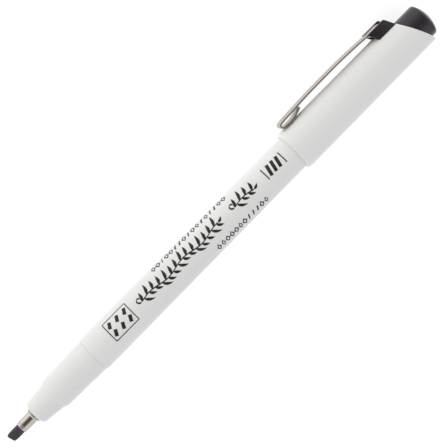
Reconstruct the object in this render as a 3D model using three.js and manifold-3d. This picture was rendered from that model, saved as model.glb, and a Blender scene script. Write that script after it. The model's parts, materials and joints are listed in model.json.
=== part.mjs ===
// Calligraphy marker with its cap posted on the barrel's tail, lying on a table.
//
// Every piece is drawn in the pen's own frame: +Y runs along the axis from the nib's tip to the
// tail, +X points at the clip. One turned group lays the finished pen down along the world's X
// axis, rolled until the clip's block touches the table beside the cap.
import * as THREE from 'three';
import { mergeVertices } from 'three/addons/utils/BufferGeometryUtils.js';
import Module from 'manifold-3d';

const wasm = await Module();
wasm.setup();

// ---- driving dimensions, in millimetres and degrees ----

const facets = 36; // sides of a turned surface
const smallFacets = 20; // sides of the thin turned pieces
const seatGap = 0.04; // between a pressed-in piece and its seat, on the radius
const runningGap = 0.06; // between the cap's inner bead and what it slides over, on the radius
const endGap = 0.05; // between pieces that meet end to end

const nibReach = 3.95; // felt that stands out of the ferrule
const nibRadius = 1.4; // the felt rod, and half the chisel's width
const nibTipHalfWidth = 1.1;
const nibEdge = 0.7; // thickness of the writing edge
const nibSlant = 0.45; // how far the writing edge leans back across its width
const nibRodDepth = 42.5; // rear end of the felt rod, behind the nib's tip
const nibTurn = 9; // the writing edge's roll about the axis, from the clip's plane

const ferruleReach = 4.7; // tube that stands out of the nose
const ferruleWall = 0.14;
const ferruleLip = 0.72; // length of the rolled front edge
const ferruleLipInset = 0.11; // how far the rolled edge lies below the tube's surface
const ferruleFlare = 0.45; // how far the skirt at the nose spreads
const ferruleFlareLength = 1.3; // tube ahead of the nose over which it spreads
const ferruleSeat = 5.2; // length pressed into the nose

const noseRadius = 3.45; // at the end of the rounded front
const noseRound = 1.6;
const noseLand = 0.1; // least flat ring between the ferrule's seat and that rounding
const noseLength = 6.6; // from the front face to the step
const noseRear = 4.02; // radius just before the step
const stepLength = 1.5;
const gripFront = 4.56; // radius behind the step
const gripRear = 4.77;
const gripLength = 9.25;
const ringRadius = 4.915; // bead that the cap snaps over
const ringLength = 1.8;
const neckRadius = 4.86;
const neckLength = 2.2;
const spigotRadius = 4.2; // the section's tail inside the barrel
const spigotLength = 10.5;
const sectionWall = 1.15;
const spigotLead = 0.3; // taper at the spigot's rear edge, on the radius
const spigotLeadLength = 0.5;

const holderFront = 1.2; // space between the ferrule's end and the nib holder
const holderRadius = 2.75;
const holderLength = 15.5;
const holderCollar = 3; // full-width band at each end of the holder
const holderGroove = 0.5; // depth and run of the waist between the bands
const holderLead = 0.4; // taper at the holder's ends

const barrelLength = 87.6;
const barrelFront = 5.175;
const barrelRear = 4.9;
const barrelStraight = 12.0; // front stretch of the barrel that doesn't taper
const barrelWall = 0.66; // at the tail
const barrelRound = 0.5; // shoulder at the seam
const barrelTailRound = 0.5;
const barrelRelief = 0.5; // room behind the spigot, and the run of the bore's step there

const reservoirRoom = 0.3; // between the filmed reservoir and the barrel's bore
const reservoirLength = 68.0;
const filmWall = 0.15;
const nibBite = 1.2; // how far the reservoir starts behind the section's spigot

const tailPlugLength = 6.0;
const tailPlugWall = 0.9;
const tailPlugLead = 0.6; // length of the taper at the plug's inner end
const tailPlugEdge = 0.25; // chamfer, on the radius

const capLength = 50.0;
const capMouth = 5.945;
const capTail = 5.83;
const capLipRound = 0.5;
const capBand = 4.0; // straight band behind the mouth, before the taper
const postDepth = 14.35; // barrel inside the posted cap
const capRoom = 0.17; // between the cap's bore and what it slides over, on the radius
const capBead = 0.07; // height of the bead inside the cap, less the running gap
const capBeadPlace = 2.6; // behind the mouth
const capBeadHalf = 0.15; // half the width of the bead's crest
const capBeadFoot = 0.7; // half the width of its foot
const cutSlope = 0.51; // lean of the cap tube's oblique tail: run along the axis per rise
const plugShow = 5.65; // plug that stands past that cut, along the axis

const linerStart = 0.35; // space between the posted barrel's tail and the liner
const linerWall = 0.62;
const linerProud = 0.04; // how far the liner's side stands past the plug's
const linerEnd = 0.8;
const linerShoulder = 0.1; // step in the cap's bore ahead of the liner

const plugRadius = 4.8;
const plugSeat = 0.4; // space between the liner's closed end and the plug
const plugLead = 1.2; // plug ahead of the clip block, where its front leaves the plug's side
const plugWall = 1.2;
const plugDome = 8.6; // radius of the domed end
const plugRim = 0.75;

const blockRise = 2.005; // outer surface of the clip block, above the cap's widest radius
const blockWidth = 6.6;
const blockLength = 5.9;

const clipWidth = 5.0;
const clipThickness = 0.45;
const clipInset = 0.15; // how far the strip lies below the block's top
const clipBow = 0.59; // how far the middle of the strip stands above its root
const clipFoot = 1.8; // free end of the clip, behind the cap's mouth
const footLoop = 7.2; // length of the folded foot
const tangDepth = 2.0;
const tangInset = 1.05; // from the block's rear edge to the tang
const clipPlay = 0.16; // room round the tang in its pocket
const clipBend = 0.7; // easing of the pocket's edge where the strip bends over it

// ---- places along the axis, measured from the nib's tip ----

const ferruleFace = nibReach;
const noseFace = ferruleFace + ferruleReach;
const stepFace = noseFace + noseLength;
const gripFace = stepFace + stepLength;
const ringFace = gripFace + gripLength;
const neckFace = ringFace + ringLength;
const seam = neckFace + neckLength;
const spigotEnd = seam + spigotLength;
const barrelFace = seam + endGap;
const barrelEnd = barrelFace + barrelLength;
const capFace = barrelEnd - postDepth;
const capEnd = capFace + capLength;
const cutAxis = capEnd - plugShow;
const plugFace = cutAxis - blockLength - cutSlope * plugRadius - plugLead;
const linerFace = barrelEnd + linerStart;
const linerBack = plugFace - plugSeat;
const reservoirFace = spigotEnd + nibBite;

const barrelBore = spigotRadius + seatGap;
const tailBore = barrelRear - barrelWall;
const filmRadius = Math.min(barrelBore, tailBore) - reservoirRoom;
const reservoirRadius = filmRadius - filmWall - seatGap;
const ferruleBore = nibRadius + seatGap;
const ferruleRadius = ferruleBore + ferruleWall;
const linerRadius = plugRadius + linerProud;
const capBore = Math.max(barrelRear, ringRadius) + capRoom;
const tubeLinerBore = linerRadius + seatGap;
const tubePlugBore = plugRadius + seatGap;

const blockTop = capMouth + blockRise;
const penLength = capEnd;
const downFacet = Math.cos(Math.PI / facets);
const axisHeight = capMouth * downFacet;

// The clip's lean from straight down: the block's lower corner comes to the table's height.
const blockHalf = blockWidth / 2;
const clipLean = Math.acos(axisHeight / Math.hypot(blockTop, blockHalf))
  + Math.atan2(blockHalf, blockTop);

// ---- shared shape helpers ----

function arc(centreR, centreY, radius, fromDegrees, toDegrees, steps) {
  const points = [];
  for (let i = 0; i <= steps; i += 1) {
    const angle = THREE.MathUtils.degToRad(fromDegrees + ((toDegrees - fromDegrees) * i) / steps);
    points.push([centreR + radius * Math.cos(angle), centreY + radius * Math.sin(angle)]);
  }
  return points;
}

// Turns a closed outline of [radius, height] points, with one flat side facing the table.
function turned(outline, sides = facets) {
  const closed = [...outline, outline[0]];
  const points = closed.map(([r, y]) => new THREE.Vector2(Math.max(r, 0), y));
  const start = Math.PI / 2 - clipLean + Math.PI / sides;
  return new THREE.LatheGeometry(points, sides, start);
}

// Extrudes a shape drawn in the clip's plane to an even width on both sides of it.
function plate(shape, width) {
  const geometry = new THREE.ExtrudeGeometry(shape, { depth: width, bevelEnabled: false });
  geometry.translate(0, 0, -width / 2);
  return geometry;
}

function polygon(points) {
  return new THREE.Shape(points.map(([x, y]) => new THREE.Vector2(x, y)));
}

function solid(geometry) {
  const bare = geometry.clone();
  bare.deleteAttribute('normal');
  bare.deleteAttribute('uv');
  const merged = mergeVertices(bare, 1e-4);
  const corners = merged.index.array;
  const kept = [];
  for (let i = 0; i < corners.length; i += 3) {
    const [a, b, c] = [corners[i], corners[i + 1], corners[i + 2]];
    if (a !== b && b !== c && c !== a) {
      kept.push(a, b, c);
    }
  }
  return new wasm.Manifold(new wasm.Mesh({
    numProp: 3,
    vertProperties: new Float32Array(merged.attributes.position.array),
    triVerts: new Uint32Array(kept),
  }));
}

function geometryOf(manifold) {
  const mesh = manifold.getMesh();
  const geometry = new THREE.BufferGeometry();
  geometry.setAttribute('position', new THREE.BufferAttribute(mesh.vertProperties, 3));
  geometry.setIndex(new THREE.BufferAttribute(mesh.triVerts, 1));
  geometry.computeVertexNormals();
  return geometry;
}

// The side view of a strip of even thickness that follows a curve.
function stripShape(curve, thickness, steps) {
  const left = [];
  const right = [];
  for (let i = 0; i <= steps; i += 1) {
    const at = curve.getPointAt(i / steps);
    const along = curve.getTangentAt(i / steps);
    const side = new THREE.Vector2(-along.y, along.x).multiplyScalar(thickness / 2);
    left.push([at.x + side.x, at.y + side.y]);
    right.push([at.x - side.x, at.y - side.y]);
  }
  return polygon([...left, ...right.reverse()]);
}

// ---- materials ----

function finish(color, roughness, metalness) {
  return new THREE.MeshStandardMaterial({ color, roughness, metalness });
}

const whitePlastic = finish(0xe3e6de, 0.35, 0);
const blackPlastic = finish(0x2b282c, 0.38, 0);
const clearPlastic = finish(0xd9dcdf, 0.3, 0);
const polishedMetal = finish(0xcfc9bd, 0.16, 1);
const springSteel = finish(0xc4bcb0, 0.28, 1);
const inkedFelt = finish(0x2a2430, 0.95, 0);
const wadding = finish(0x3a3346, 1, 0);

// ---- writing end ----

function nib() {
  const tip = nibTipHalfWidth;
  const outline = new THREE.Shape();
  outline.moveTo(tip * 0.55, 0);
  outline.quadraticCurveTo(tip, 0, tip + 0.1, nibSlant);
  outline.lineTo(nibRadius, nibReach * 0.45);
  outline.lineTo(nibRadius, nibRodDepth);
  outline.lineTo(-nibRadius, nibRodDepth);
  outline.lineTo(-nibRadius, nibReach * 0.5);
  outline.lineTo(-tip - 0.12, nibSlant * 2);
  outline.quadraticCurveTo(-tip, nibSlant, -tip * 0.55, nibSlant * 0.75);
  const blade = solid(plate(outline, 4 * nibRadius));

  // The two bevels: the felt is full round behind the ferrule's edge and thins to the writing edge.
  const half = nibEdge / 2;
  const wedge = polygon([
    [-half, -1],
    [half, -1],
    [half, 0],
    [nibRadius, nibReach],
    [nibRadius, nibRodDepth + 1],
    [-nibRadius, nibRodDepth + 1],
    [-nibRadius, nibReach],
    [-half, 0],
  ]);
  const bevels = plate(wedge, 4 * nibRadius);
  bevels.rotateY(Math.PI / 2);

  const rod = turned([[0, -0.5], [nibRadius, -0.5], [nibRadius, nibRodDepth], [0, nibRodDepth]], smallFacets);
  return geometryOf(solid(rod).intersect(blade).intersect(solid(bevels)));
}

function ferrule() {
  const flareStart = noseFace - ferruleFlareLength;
  return turned([
    [ferruleBore, ferruleFace],
    [ferruleRadius - ferruleLipInset, ferruleFace],
    [ferruleRadius - 0.07, ferruleFace + ferruleLip * 0.8],
    [ferruleRadius, ferruleFace + ferruleLip],
    [ferruleRadius + 0.02, flareStart],
    [ferruleRadius + ferruleFlare * 0.35, noseFace - 0.5],
    [ferruleRadius + ferruleFlare, noseFace - 0.15],
    [ferruleRadius + ferruleFlare, noseFace - endGap],
    [ferruleRadius, noseFace - endGap],
    [ferruleRadius, noseFace + ferruleSeat],
    [ferruleBore, noseFace + ferruleSeat],
  ], smallFacets);
}

function gripSection() {
  const seat = ferruleRadius + seatGap;
  const seatEnd = noseFace + ferruleSeat + endGap;
  const chamber = holderRadius + seatGap;
  const round = Math.min(noseRound, noseRadius - seat - noseLand);
  const front = arc(noseRadius - round, noseFace + round, round, -90, 0, 5);
  return turned([
    [seat, noseFace],
    ...front,
    [noseRear, stepFace],
    [noseRear + 0.14, stepFace + stepLength * 0.3],
    [gripFront - 0.06, stepFace + stepLength * 0.85],
    [gripFront, gripFace],
    [gripRear, ringFace],
    [ringRadius - 0.03, ringFace + ringLength * 0.3],
    [ringRadius, ringFace + ringLength * 0.6],
    [neckRadius, neckFace],
    [neckRadius, seam],
    [spigotRadius, seam],
    [spigotRadius, spigotEnd - spigotLeadLength],
    [spigotRadius - spigotLead, spigotEnd],
    [spigotRadius - sectionWall, spigotEnd],
    [chamber, seatEnd + holderFront + holderLength],
    [chamber, seatEnd + holderFront],
    [seat, seatEnd],
  ]);
}

function nibHolder() {
  const front = noseFace + ferruleSeat + holderFront + 2 * endGap;
  const back = front + holderLength;
  const bore = nibRadius + seatGap;
  return turned([
    [bore, front],
    [holderRadius - holderLead, front],
    [holderRadius, front + holderLead],
    [holderRadius, front + holderCollar],
    [holderRadius - holderGroove, front + holderCollar + holderGroove],
    [holderRadius - holderGroove, back - holderCollar - holderGroove],
    [holderRadius, back - holderCollar],
    [holderRadius, back - holderLead],
    [bore, back - holderLead],
  ], smallFacets);
}

// ---- barrel and what it holds ----

function barrel() {
  const socketEnd = spigotEnd + barrelRelief;
  const shoulder = arc(barrelFront - barrelRound, barrelFace + barrelRound, barrelRound, -60, 0, 3);
  const tail = arc(barrelRear - barrelTailRound, barrelEnd - barrelTailRound, barrelTailRound, 0, 90, 3);
  return turned([
    [barrelBore, barrelFace],
    [neckRadius + 0.03, barrelFace],
    ...shoulder,
    [barrelFront, barrelFace + barrelStraight],
    ...tail,
    [tailBore, barrelEnd],
    [tailBore, socketEnd + barrelRelief],
    [barrelBore, socketEnd],
  ]);
}

function reservoirCore() {
  const socket = nibRadius + seatGap;
  const socketEnd = nibRodDepth + endGap;
  const back = reservoirFace + reservoirLength;
  const outline = [[0, socketEnd], [reservoirRadius, socketEnd], [reservoirRadius, back], [0, back]];
  if (socketEnd > reservoirFace + endGap) {
    outline.splice(1, 1, [socket, socketEnd], [socket, reservoirFace], [reservoirRadius, reservoirFace]);
  }
  return turned(outline, smallFacets);
}

function reservoirFilm() {
  const inner = reservoirRadius + seatGap;
  const back = reservoirFace + reservoirLength;
  return turned([
    [inner, reservoirFace],
    [filmRadius, reservoirFace],
    [filmRadius, back],
    [inner, back],
  ], smallFacets);
}

function tailPlug() {
  const radius = tailBore - seatGap;
  const front = barrelEnd - tailPlugLength;
  return turned([
    [radius - tailPlugWall, front],
    [radius - tailPlugEdge, front],
    [radius, front + tailPlugLead],
    [radius, barrelEnd - tailPlugEdge],
    [radius - tailPlugEdge, barrelEnd],
    [0, barrelEnd],
    [0, barrelEnd - tailPlugWall],
    [radius - tailPlugWall, barrelEnd - tailPlugWall],
  ]);
}

// ---- cap ----

// The region behind a plane that leans with the cap's oblique tail and crosses the axis at place.
function behindLeaningPlane(place, low, high, back) {
  return polygon([
    [low, place - cutSlope * low],
    [high, place - cutSlope * high],
    [high, back],
    [low, back],
  ]);
}

function blockPlace() {
  return cutAxis - blockLength;
}

function capTube() {
  const beadAt = capFace + capBeadPlace;
  const bead = Math.max(barrelRear, ringRadius) + runningGap;
  const shoulder = linerFace - linerShoulder;
  const lip = arc(capMouth - capLipRound, capFace + capLipRound, capLipRound, -75, 0, 3);
  const tube = turned([
    [capBore, capFace],
    ...lip,
    [capMouth, capFace + capBand],
    [capTail, capEnd],
    [tubePlugBore, capEnd],
    [tubePlugBore, plugFace - 0.1],
    [tubeLinerBore, plugFace - 0.3],
    [tubeLinerBore, shoulder + 0.05],
    [capBore, shoulder - 0.25],
    [capBore, beadAt + capBeadFoot],
    [bead + capBead * 0.2, beadAt + capBeadHalf],
    [bead + capBead * 0.2, beadAt - capBeadHalf],
    [capBore, beadAt - capBeadFoot],
  ]);
  const reach = 2 * capMouth;
  const tail = plate(behindLeaningPlane(cutAxis, -reach, reach, capEnd + reach), 2 * reach);
  const notchPlace = blockPlace() - endGap * Math.hypot(1, cutSlope);
  const notch = plate(
    behindLeaningPlane(notchPlace, 0, reach, capEnd + reach),
    blockWidth + 2 * seatGap,
  );
  return geometryOf(solid(tube).subtract(solid(tail)).subtract(solid(notch)));
}

function capLiner() {
  const bore = linerRadius - linerWall;
  return turned([
    [bore, linerFace],
    [linerRadius - 0.15, linerFace],
    [linerRadius, linerFace + 0.2],
    [linerRadius, linerBack - 0.5],
    [linerRadius - 0.4, linerBack],
    [0, linerBack],
    [0, linerBack - linerEnd],
    [bore - 0.1, linerBack - linerEnd],
  ]);
}

function capPlug() {
  const rimAngle = THREE.MathUtils.radToDeg(Math.asin((plugRadius - plugRim) / (plugDome - plugRim)));
  const domeCentre = capEnd - plugDome;
  const rimCentreY = domeCentre + (plugDome - plugRim) * Math.cos(THREE.MathUtils.degToRad(rimAngle));
  const rim = arc(plugRadius - plugRim, rimCentreY, plugRim, 0, 90 - rimAngle, 3);
  const dome = arc(0, domeCentre, plugDome, 90 - rimAngle * 0.66, 90, 2);
  const core = turned([
    [plugRadius - plugWall, plugFace],
    [plugRadius - 0.2, plugFace],
    [plugRadius, plugFace + 0.3],
    ...rim,
    ...dome,
    [0, rimCentreY - plugWall],
    [plugRadius - plugWall, rimCentreY - plugWall],
  ]);
  const back = behindBlock();
  const block = plate(back, blockWidth);
  const channelFloor = stripInner() - seatGap;
  const channel = new THREE.BoxGeometry(2, 4 * blockLength, clipWidth + 2 * seatGap);
  channel.translate(channelFloor + 1, blockPlace(), 0);
  const pocket = plate(tangPocket(channelFloor), clipWidth + 2 * seatGap);
  return geometryOf(solid(core).add(solid(block)).subtract(solid(channel)).subtract(solid(pocket)));
}

// Side view of the clip block, from inside the plug's wall out to its top.
function behindBlock() {
  const low = plugRadius - plugWall / 2;
  return polygon([
    [low, blockPlace() - cutSlope * low],
    [blockTop, blockPlace() - cutSlope * blockTop],
    [blockTop, cutAxis - cutSlope * blockTop],
    [low, cutAxis - cutSlope * low],
  ]);
}

// Side view of the slot that the clip's tang hangs in, eased where the strip bends over its edge.
function tangPocket(floor) {
  const half = clipThickness / 2 + clipPlay;
  const low = stripInner() - tangDepth - clipPlay;
  return polygon([
    [low, tangPlace() - half],
    [floor - clipBend, tangPlace() - half],
    [floor + 0.1, tangPlace() - half - clipBend],
    [floor + 0.1, tangPlace() + half],
    [low, tangPlace() + half],
  ]);
}

function stripInner() {
  return blockTop - clipInset - clipThickness;
}

function tangPlace() {
  return cutAxis - cutSlope * blockTop - tangInset;
}

// The clip's side view, drawn along the middle of its thickness from the tang to the folded foot.
function clipCurve() {
  const root = stripInner() + clipThickness / 2;
  const tang = tangPlace();
  const tip = capFace + clipFoot + clipThickness / 2;
  const rest = capMouth + endGap + clipThickness / 2;
  const span = tang - tip;
  const fold = (root + rest) / 2;
  const points = [
    [root - tangDepth, tang],
    [root - 0.9, tang],
    [root - 0.25, tang - 0.12],
    [root, tang - 0.75],
    [root + 0.01, tang - blockLength * 0.7],
    [root + clipBow * 0.45, tang - span * 0.2],
    [root + clipBow * 0.92, tang - span * 0.37],
    [root + clipBow, tang - span * 0.54],
    [root + clipBow * 0.9, tang - span * 0.72],
    [root + clipBow * 0.45, tip + footLoop * 0.6],
    [root - 0.05, tip + 1.15],
    [fold + 0.42, tip + 0.2],
    [fold - 0.05, tip],
    [rest + 0.2, tip + 0.4],
    [rest, tip + 1.5],
    [rest, tip + 3.1],
    [rest + 0.22, tip + footLoop * 0.62],
    [root - 0.28, tip + footLoop],
  ];
  return new THREE.SplineCurve(points.map(([x, y]) => new THREE.Vector2(x, y)));
}

function clip() {
  return plate(stripShape(clipCurve(), clipThickness, 56), clipWidth);
}

// ---- the assembly ----

function named(name, geometry, material) {
  const mesh = new THREE.Mesh(geometry, material);
  mesh.name = name;
  return mesh;
}

const pen = new THREE.Group();

const nibMesh = named('nib', nib(), inkedFelt);
nibMesh.rotation.y = THREE.MathUtils.degToRad(nibTurn);
pen.add(nibMesh);
pen.add(named('ferrule', ferrule(), polishedMetal));
pen.add(named('grip_section', gripSection(), whitePlastic));
pen.add(named('nib_holder', nibHolder(), clearPlastic));
pen.add(named('barrel', barrel(), whitePlastic));
pen.add(named('reservoir_core', reservoirCore(), wadding));
pen.add(named('reservoir_film', reservoirFilm(), clearPlastic));
pen.add(named('tail_plug', tailPlug(), whitePlastic));
pen.add(named('cap_tube', capTube(), whitePlastic));
pen.add(named('cap_liner', capLiner(), clearPlastic));
pen.add(named('cap_plug', capPlug(), blackPlastic));
pen.add(named('clip', clip(), springSteel));

// Lay the pen down: its tail points to -X, and the clip leans from straight down towards -Y.
const tailWay = new THREE.Vector3(-1, 0, 0);
const clipWay = new THREE.Vector3(0, -Math.sin(clipLean), -Math.cos(clipLean));
const sideWay = new THREE.Vector3().crossVectors(clipWay, tailWay);
const laid = new THREE.Matrix4().makeBasis(clipWay, tailWay, sideWay);
pen.setRotationFromMatrix(laid);

// The clip side reaches further from the axis than the cap does, so the box's middle is off it.
const clipOut = Math.max(
  blockTop * Math.sin(clipLean) + blockHalf * Math.cos(clipLean),
  (stripInner() + clipThickness + clipBow) * Math.sin(clipLean) + (clipWidth / 2) * Math.cos(clipLean),
);
const capOut = capMouth;
pen.position.set(penLength / 2, (clipOut - capOut) / 2, axisHeight);

const marker = new THREE.Group();
marker.add(pen);

export default marker;
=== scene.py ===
"""Looks of a chisel-tipped marker with a posted cap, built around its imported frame.

Shapes are drawn in millimetres in the pen's own axes: X points at the clip, Y runs along the axis
from the nib's tip to the tail, and Z points sideways. PEN takes them to the row frame.
"""

import json
import math

import bmesh
import bpy
from bpy.props import FloatProperty, FloatVectorProperty, IntProperty, PointerProperty
from mathutils import Matrix, Vector, noise


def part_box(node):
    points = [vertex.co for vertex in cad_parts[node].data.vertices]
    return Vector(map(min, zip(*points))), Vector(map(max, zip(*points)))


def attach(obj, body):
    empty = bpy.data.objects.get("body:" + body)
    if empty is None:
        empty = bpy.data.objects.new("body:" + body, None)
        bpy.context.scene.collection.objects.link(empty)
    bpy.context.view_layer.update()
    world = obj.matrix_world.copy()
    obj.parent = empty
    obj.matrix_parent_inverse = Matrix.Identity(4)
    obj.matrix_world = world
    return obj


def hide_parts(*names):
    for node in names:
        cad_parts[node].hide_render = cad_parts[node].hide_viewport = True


bl_info = {
    "name": "Chisel Marker",
    "version": (1, 0, 0),
    "blender": (4, 5, 0),
    "location": "View3D > Sidebar > Marker",
    "description": "Builds a chisel-tipped marker with a posted cap around its packed frame",
    "category": "Object",
}

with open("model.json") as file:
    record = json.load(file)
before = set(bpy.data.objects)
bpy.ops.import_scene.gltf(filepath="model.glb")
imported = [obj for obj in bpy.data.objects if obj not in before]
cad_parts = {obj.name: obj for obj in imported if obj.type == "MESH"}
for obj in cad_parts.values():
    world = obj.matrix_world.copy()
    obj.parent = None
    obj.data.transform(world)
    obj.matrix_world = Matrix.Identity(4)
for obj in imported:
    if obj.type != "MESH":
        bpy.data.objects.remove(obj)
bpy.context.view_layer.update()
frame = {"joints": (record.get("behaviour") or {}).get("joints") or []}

MM = 0.001
CAD_FACETS = 36
JOINTS = {joint["name"]: joint for joint in frame["joints"]}

# ---- the pen's own axes, from the frame ----

TAIL_WAY = Vector((-1, 0, 0))
SIDE_WAY = Vector(JOINTS["clip_flex"]["axis"]).normalized()
CLIP_WAY = TAIL_WAY.cross(SIDE_WAY)
BARREL_LOW, BARREL_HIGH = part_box("barrel")
TIP = Vector((
    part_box("nib")[1].x,
    (BARREL_LOW.y + BARREL_HIGH.y) / 2,
    (BARREL_LOW.z + BARREL_HIGH.z) / 2,
))
PEN = Matrix.Translation(TIP) @ (
    Matrix((CLIP_WAY, TAIL_WAY, SIDE_WAY)).transposed().to_4x4() @ Matrix.Scale(MM, 4)
)


def span(node):
    """Front and rear end of a CAD node along the axis, in millimetres behind the nib's tip."""
    low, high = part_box(node)
    return (TIP.x - high.x) / MM, (TIP.x - low.x) / MM


def outer_radius(node):
    """Radius of a turned CAD node's widest corners, in millimetres."""
    low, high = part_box(node)
    return (high.y - low.y) / 2 / MM / math.cos(math.pi / CAD_FACETS)


# ---- sizes that pieces share, in millimetres ----

ROD_RADIUS = 1.4
ROD_BORE = 1.44
SPIGOT_RADIUS = 4.2
BARREL_BORE = 4.24
BARREL_REAR = 4.9
TAPER_START = 12.0
SIDE_ROOM = 0.08


# ---- settings ----


def length(name, description, default):
    return FloatProperty(name=name, description=description, default=default * MM, unit="LENGTH",
                         precision=5)


def factor(name, description, default):
    return FloatProperty(name=name, description=description, default=default, subtype="FACTOR",
                         min=0.0, max=1.0)


def colour(name, description, default):
    return FloatVectorProperty(name=name, description=description, default=default, size=3,
                               subtype="COLOR", min=0.0, max=1.0)


def angle(name, description, degrees):
    return FloatProperty(name=name, description=description, default=math.radians(degrees),
                         unit="ROTATION")


class MarkerShapeSettings(bpy.types.PropertyGroup):
    sides: IntProperty(name="Sides", description="Sides of a turned surface", default=144, min=24)
    edge: length("Edge Round", "Rounding of a moulded edge", 0.12)
    nib_edge: length("Writing Edge", "Thickness of the felt at its writing edge", 0.7)
    nib_width: length("Nib Half Width", "Half the width of the writing edge", 1.1)
    nib_reach: length("Nib Reach", "Felt that stands out of the ferrule", 3.95)
    nib_roll: angle("Nib Roll", "Roll of the writing edge from the clip's plane", 9.0)
    ferrule_lip: length("Ferrule Lip", "Length of the ferrule's rolled front edge", 0.62)
    ferrule_flare: length("Ferrule Flare", "Spread of the ferrule's skirt at the nose", 0.45)
    nose_round: length("Nose Round", "Rounding of the grip section's front", 1.6)
    shoulder: length("Barrel Shoulder", "Rounding of the barrel's front edge", 0.5)


class MarkerCapSettings(bpy.types.PropertyGroup):
    cut_slope: factor("Cut Slope", "Run along the axis for each rise of the oblique tail", 0.52)
    lip_round: length("Lip Round", "Rounding of the cap's mouth", 0.5)
    rim_round: length("Rim Round", "Rounding of the oblique tail's rim", 0.13)
    plug_show: length("Plug Show", "Plug that stands past the cut, along the axis", 5.65)
    plug_dome: length("Plug Dome", "Radius of the plug's domed end", 8.6)
    plug_rim: length("Plug Rim", "Rounding between the plug's side and its dome", 0.75)
    block_top: length("Block Top", "Top of the clip block, from the axis", 7.95)
    block_width: length("Block Width", "Width of the clip block", 6.6)
    block_length: length("Block Length", "Length of the clip block along the axis", 5.9)
    clip_width: length("Clip Width", "Width of the clip's strip", 5.0)
    clip_thickness: length("Clip Thickness", "Thickness of the clip's strip", 0.45)
    clip_bow: length("Clip Bow", "Rise of the strip's middle above its root", 0.59)
    foot_loop: length("Foot Loop", "Length of the clip's folded foot", 7.2)


class MarkerPrintSettings(bpy.types.PropertyGroup):
    height: length("Ink Height", "Thickness of the printed ink", 0.012)
    broad: length("Broad Stroke", "Widest part of a pen stroke", 0.78)
    hair: length("Hair Stroke", "Thinnest part of a pen stroke", 0.17)
    pen_angle: angle("Pen Angle", "Angle of the drawn strokes' chisel", 38.0)
    seed: IntProperty(name="Seed", description="Seed of the small marks", default=7)


class MarkerFinishSettings(bpy.types.PropertyGroup):
    white: colour("White Plastic", "Colour of the barrel and cap", (0.825, 0.822, 0.805))
    black: colour("Black Plastic", "Colour of the plug", (0.024, 0.0185, 0.023))
    natural: colour("Natural Plastic", "Colour of the unseen mouldings", (0.72, 0.74, 0.75))
    metal: colour("Ferrule Metal", "Colour of the ferrule", (0.70, 0.67, 0.62))
    steel: colour("Spring Steel", "Colour of the clip", (0.58, 0.55, 0.51))
    felt: colour("Inked Felt", "Colour of the soaked felt", (0.032, 0.0255, 0.030))
    ink: colour("Printing Ink", "Colour of the printing", (0.012, 0.011, 0.012))
    gloss: factor("Plastic Roughness", "Roughness of the white plastic", 0.46)


class MarkerStageSettings(bpy.types.PropertyGroup):
    lens: FloatProperty(name="Lens", description="Camera lens", default=121.85, unit="CAMERA")
    distance: length("Distance", "From the camera to the pen's axis", 387.0)
    foot: length("Camera Foot", "Place on the axis nearest the camera", 59.0)
    aim: length("Camera Aim", "Place on the axis that the camera looks at", 77.14)
    roll: angle("Picture Roll", "Angle of the pen above the picture's base", 45.45)
    turn: angle("Turn", "Angle between the clip's plane and the picture's", 9.0)
    key: FloatProperty(name="Key Light", description="Power of the key light", default=1.22, unit="POWER")
    fill: FloatProperty(name="Fill Light", description="Power of the fill light", default=0.12, unit="POWER")
    world: FloatProperty(name="World", description="Strength of the surroundings", default=0.93)


def shape_of(context):
    return context.scene.marker_shape


def cap_of(context):
    return context.scene.marker_cap


# ---- outlines ----


def arc(centre_r, centre_a, radius, start, end, steps):
    """Points of an arc in the side view, between two angles in degrees."""
    angles = [math.radians(start + (end - start) * i / steps) for i in range(steps + 1)]
    return [(centre_r + radius * math.cos(t), centre_a + radius * math.sin(t)) for t in angles]


def rounded(corners, steps=4, support=0.04):
    """Rounds a closed outline. A corner is two coordinates, and a third is its rounding."""
    points = []
    for i, corner in enumerate(corners):
        here = Vector(corner[:2])
        fillet = corner[2] if len(corner) > 2 else 0
        if not fillet:
            points.append((here.x, here.y))
            continue
        back = Vector(corners[i - 1][:2]) - here
        ahead = Vector(corners[(i + 1) % len(corners)][:2]) - here
        half = back.angle(ahead) / 2
        limit = 0.46 * min(back.length, ahead.length)
        reach = min(fillet / math.tan(half), limit)
        radius = reach * math.tan(half)
        back.normalize()
        ahead.normalize()
        centre = here + (back + ahead).normalized() * (radius / math.sin(half))
        first = here + back * reach - centre
        turn = first.angle_signed(here + ahead * reach - centre)
        lead = min(support, 0.04 * limit)
        points.append(tuple(here + back * (reach + lead)))
        for k in range(steps + 1):
            t = -turn * k / steps
            x, y = first
            points.append((
                centre.x + x * math.cos(t) - y * math.sin(t),
                centre.y + x * math.sin(t) + y * math.cos(t),
            ))
        points.append(tuple(here + ahead * (reach + lead)))
    return points


# ---- meshes ----


def turned(outline, sides):
    """A turned solid. The closed outline is a list of (radius, place), or gives one for an angle."""
    mesh = bmesh.new()
    poles = {}
    columns = []
    for j in range(sides):
        turn = 2 * math.pi * j / sides
        column = []
        for i, (radius, place) in enumerate(outline(turn) if callable(outline) else outline):
            if radius > 1e-6:
                column.append(mesh.verts.new((radius * math.cos(turn), place, radius * math.sin(turn))))
            else:
                if i not in poles:
                    poles[i] = mesh.verts.new((0, place, 0))
                column.append(poles[i])
        columns.append(column)
    for j, column in enumerate(columns):
        beside = columns[(j + 1) % sides]
        for i, corner in enumerate(column):
            k = (i + 1) % len(column)
            corners = list(dict.fromkeys((corner, column[k], beside[k], beside[i])))
            if len(corners) > 2:
                mesh.faces.new(corners)
    bmesh.ops.recalc_face_normals(mesh, faces=mesh.faces)
    return mesh


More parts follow.
